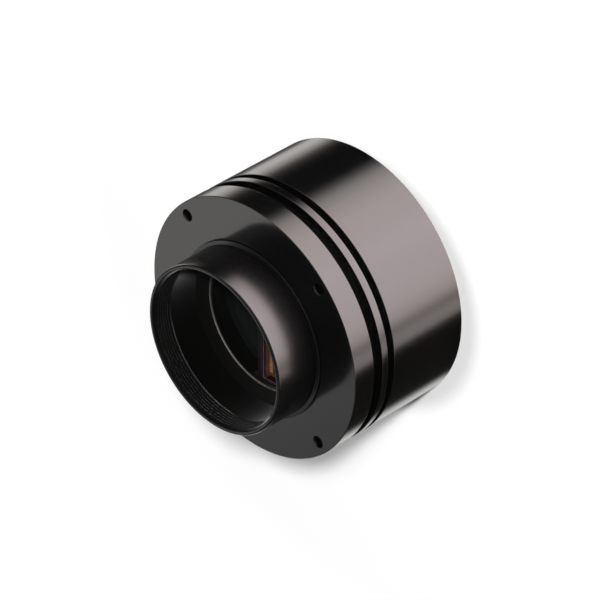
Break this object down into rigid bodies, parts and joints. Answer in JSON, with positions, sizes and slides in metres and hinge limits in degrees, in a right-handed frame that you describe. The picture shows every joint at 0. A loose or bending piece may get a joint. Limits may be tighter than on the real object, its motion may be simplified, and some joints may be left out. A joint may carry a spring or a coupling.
{
  "type": "machine vision camera",
  "caption": "Cylindrical line-scan machine vision camera with a threaded lens neck, a drilled mounting flange and clamping grooves round a black body.",
  "frame": {"origin": "centre of the rear rim's plane, on the optical axis, where the camera stands on its back", "axes": "+Z along the optical axis from the rear cover to the lens mouth; the sensor's line lies along Y"},
  "size_m": [0.065, 0.065, 0.0467],
  "materials": {
    "black_anodise": "glossy black anodised, fine turned",
    "seal_rubber": "matt",
    "black_steel": "black oxide",
    "ceramic": "fired ceramic, stands as matte plastic",
    "gold": "gold plated",
    "silicon": "polished die",
    "clear_glass": "clear, coated",
    "board": "black solder resist",
    "capacitor": "ceramic",
    "chip_plastic": "moulded, matt",
    "spacer_brass": "nickel plated",
    "oscillator_can": "drawn can",
    "screw_steel": "zinc plated",
    "coil_ferrite": "ferrite block",
    "connector_plastic": "moulded",
    "shell_nickel": "nickel plated",
    "clear_plastic": "clear moulded",
    "lamp_body": "small lamp"
  },
  "bodies": {
    "root": {"front_housing": "black_anodise", "housing_tube": "black_anodise", "rear_cover": "black_anodise", "front_seal": "seal_rubber", "cover_gasket": "seal_rubber", "cover_screws": "black_steel", "sensor_package": "ceramic", "sensor_gold": "gold", "sensor_chip": "silicon", "sensor_glass": "clear_glass", "sensor_pins": "gold", "sensor_board": "board", "sensor_board_capacitors": "capacitor", "converter_chip": "chip_plastic", "front_spacers": "spacer_brass", "processing_board": "board", "logic_chip": "chip_plastic", "memory_chips": "chip_plastic", "clock_oscillator": "oscillator_can", "rear_spacers": "spacer_brass", "interface_board": "board", "board_screws": "screw_steel", "power_coils": "coil_ferrite", "transceiver_chip": "chip_plastic", "sensor_board_plug": "connector_plastic", "processing_front_socket": "connector_plastic", "processing_rear_plug": "connector_plastic", "interface_board_socket": "connector_plastic", "io_socket_shell": "shell_nickel", "io_socket_nut": "shell_nickel", "io_socket_insert": "connector_plastic", "io_socket_contacts": "gold", "data_socket_shell": "shell_nickel", "data_socket_tongue": "connector_plastic", "data_socket_contacts": "gold", "status_light_guide": "clear_plastic", "status_lamp": "lamp_body"}
  },
  "joints": []
}
